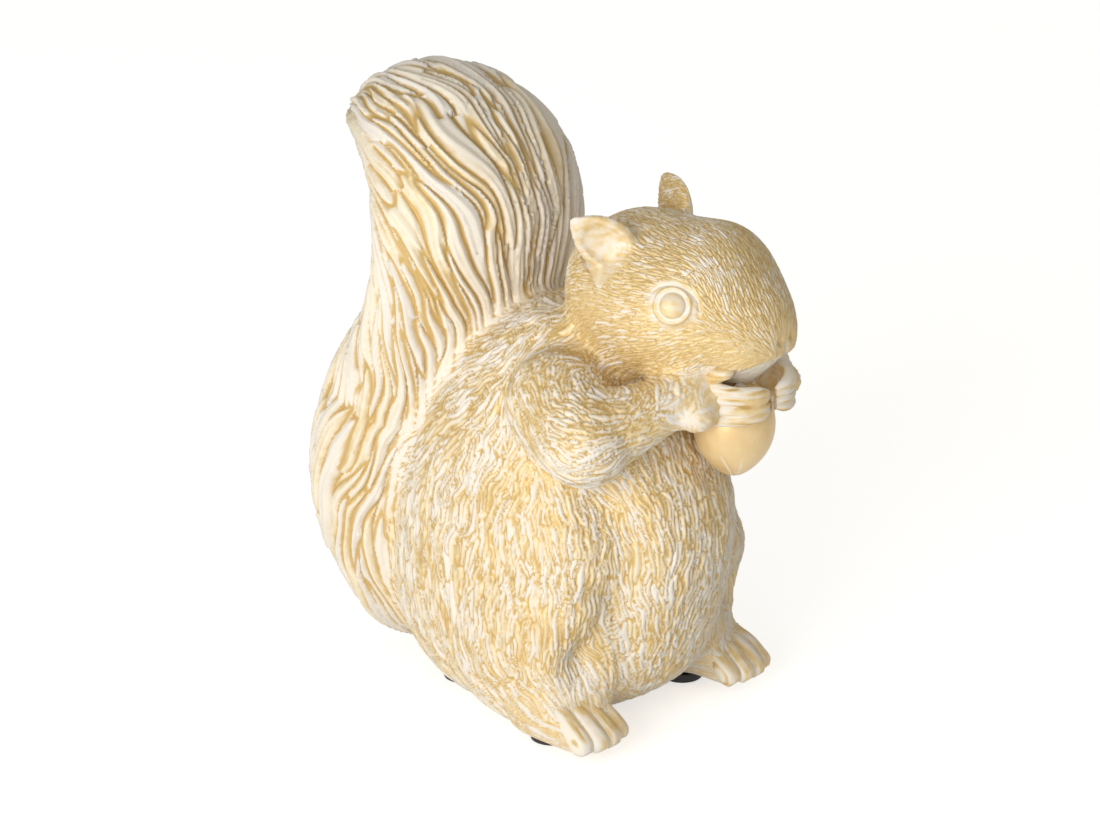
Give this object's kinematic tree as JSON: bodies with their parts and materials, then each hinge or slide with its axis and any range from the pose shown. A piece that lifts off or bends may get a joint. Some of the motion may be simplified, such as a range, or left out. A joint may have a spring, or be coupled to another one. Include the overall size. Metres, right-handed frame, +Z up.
{
  "type": "squirrel figurine",
  "caption": "Rigid resin squirrel ornament that sits upright, holds a nut to its mouth and stands on rubber pads.",
  "frame": {"origin": "on the surface that the figure stands on, below the middle of its bounding box", "axes": "+Z up, -Y the way the squirrel faces, +X the squirrel's left"},
  "size_m": [0.0864, 0.1392, 0.1624],
  "materials": {
    "gilded_resin": "gold paint with a white wash over the raised hair",
    "nut_gold": "satin gold paint",
    "rubber": "matte"
  },
  "bodies": {
    "root": {"torso": "gilded_resin", "head": "gilded_resin", "tail": "gilded_resin", "right_arm": "gilded_resin", "left_arm": "gilded_resin", "nut": "nut_gold", "pad_front_right": "rubber", "pad_front_left": "rubber", "pad_rear_right": "rubber", "pad_rear_left": "rubber"}
  },
  "joints": []
}
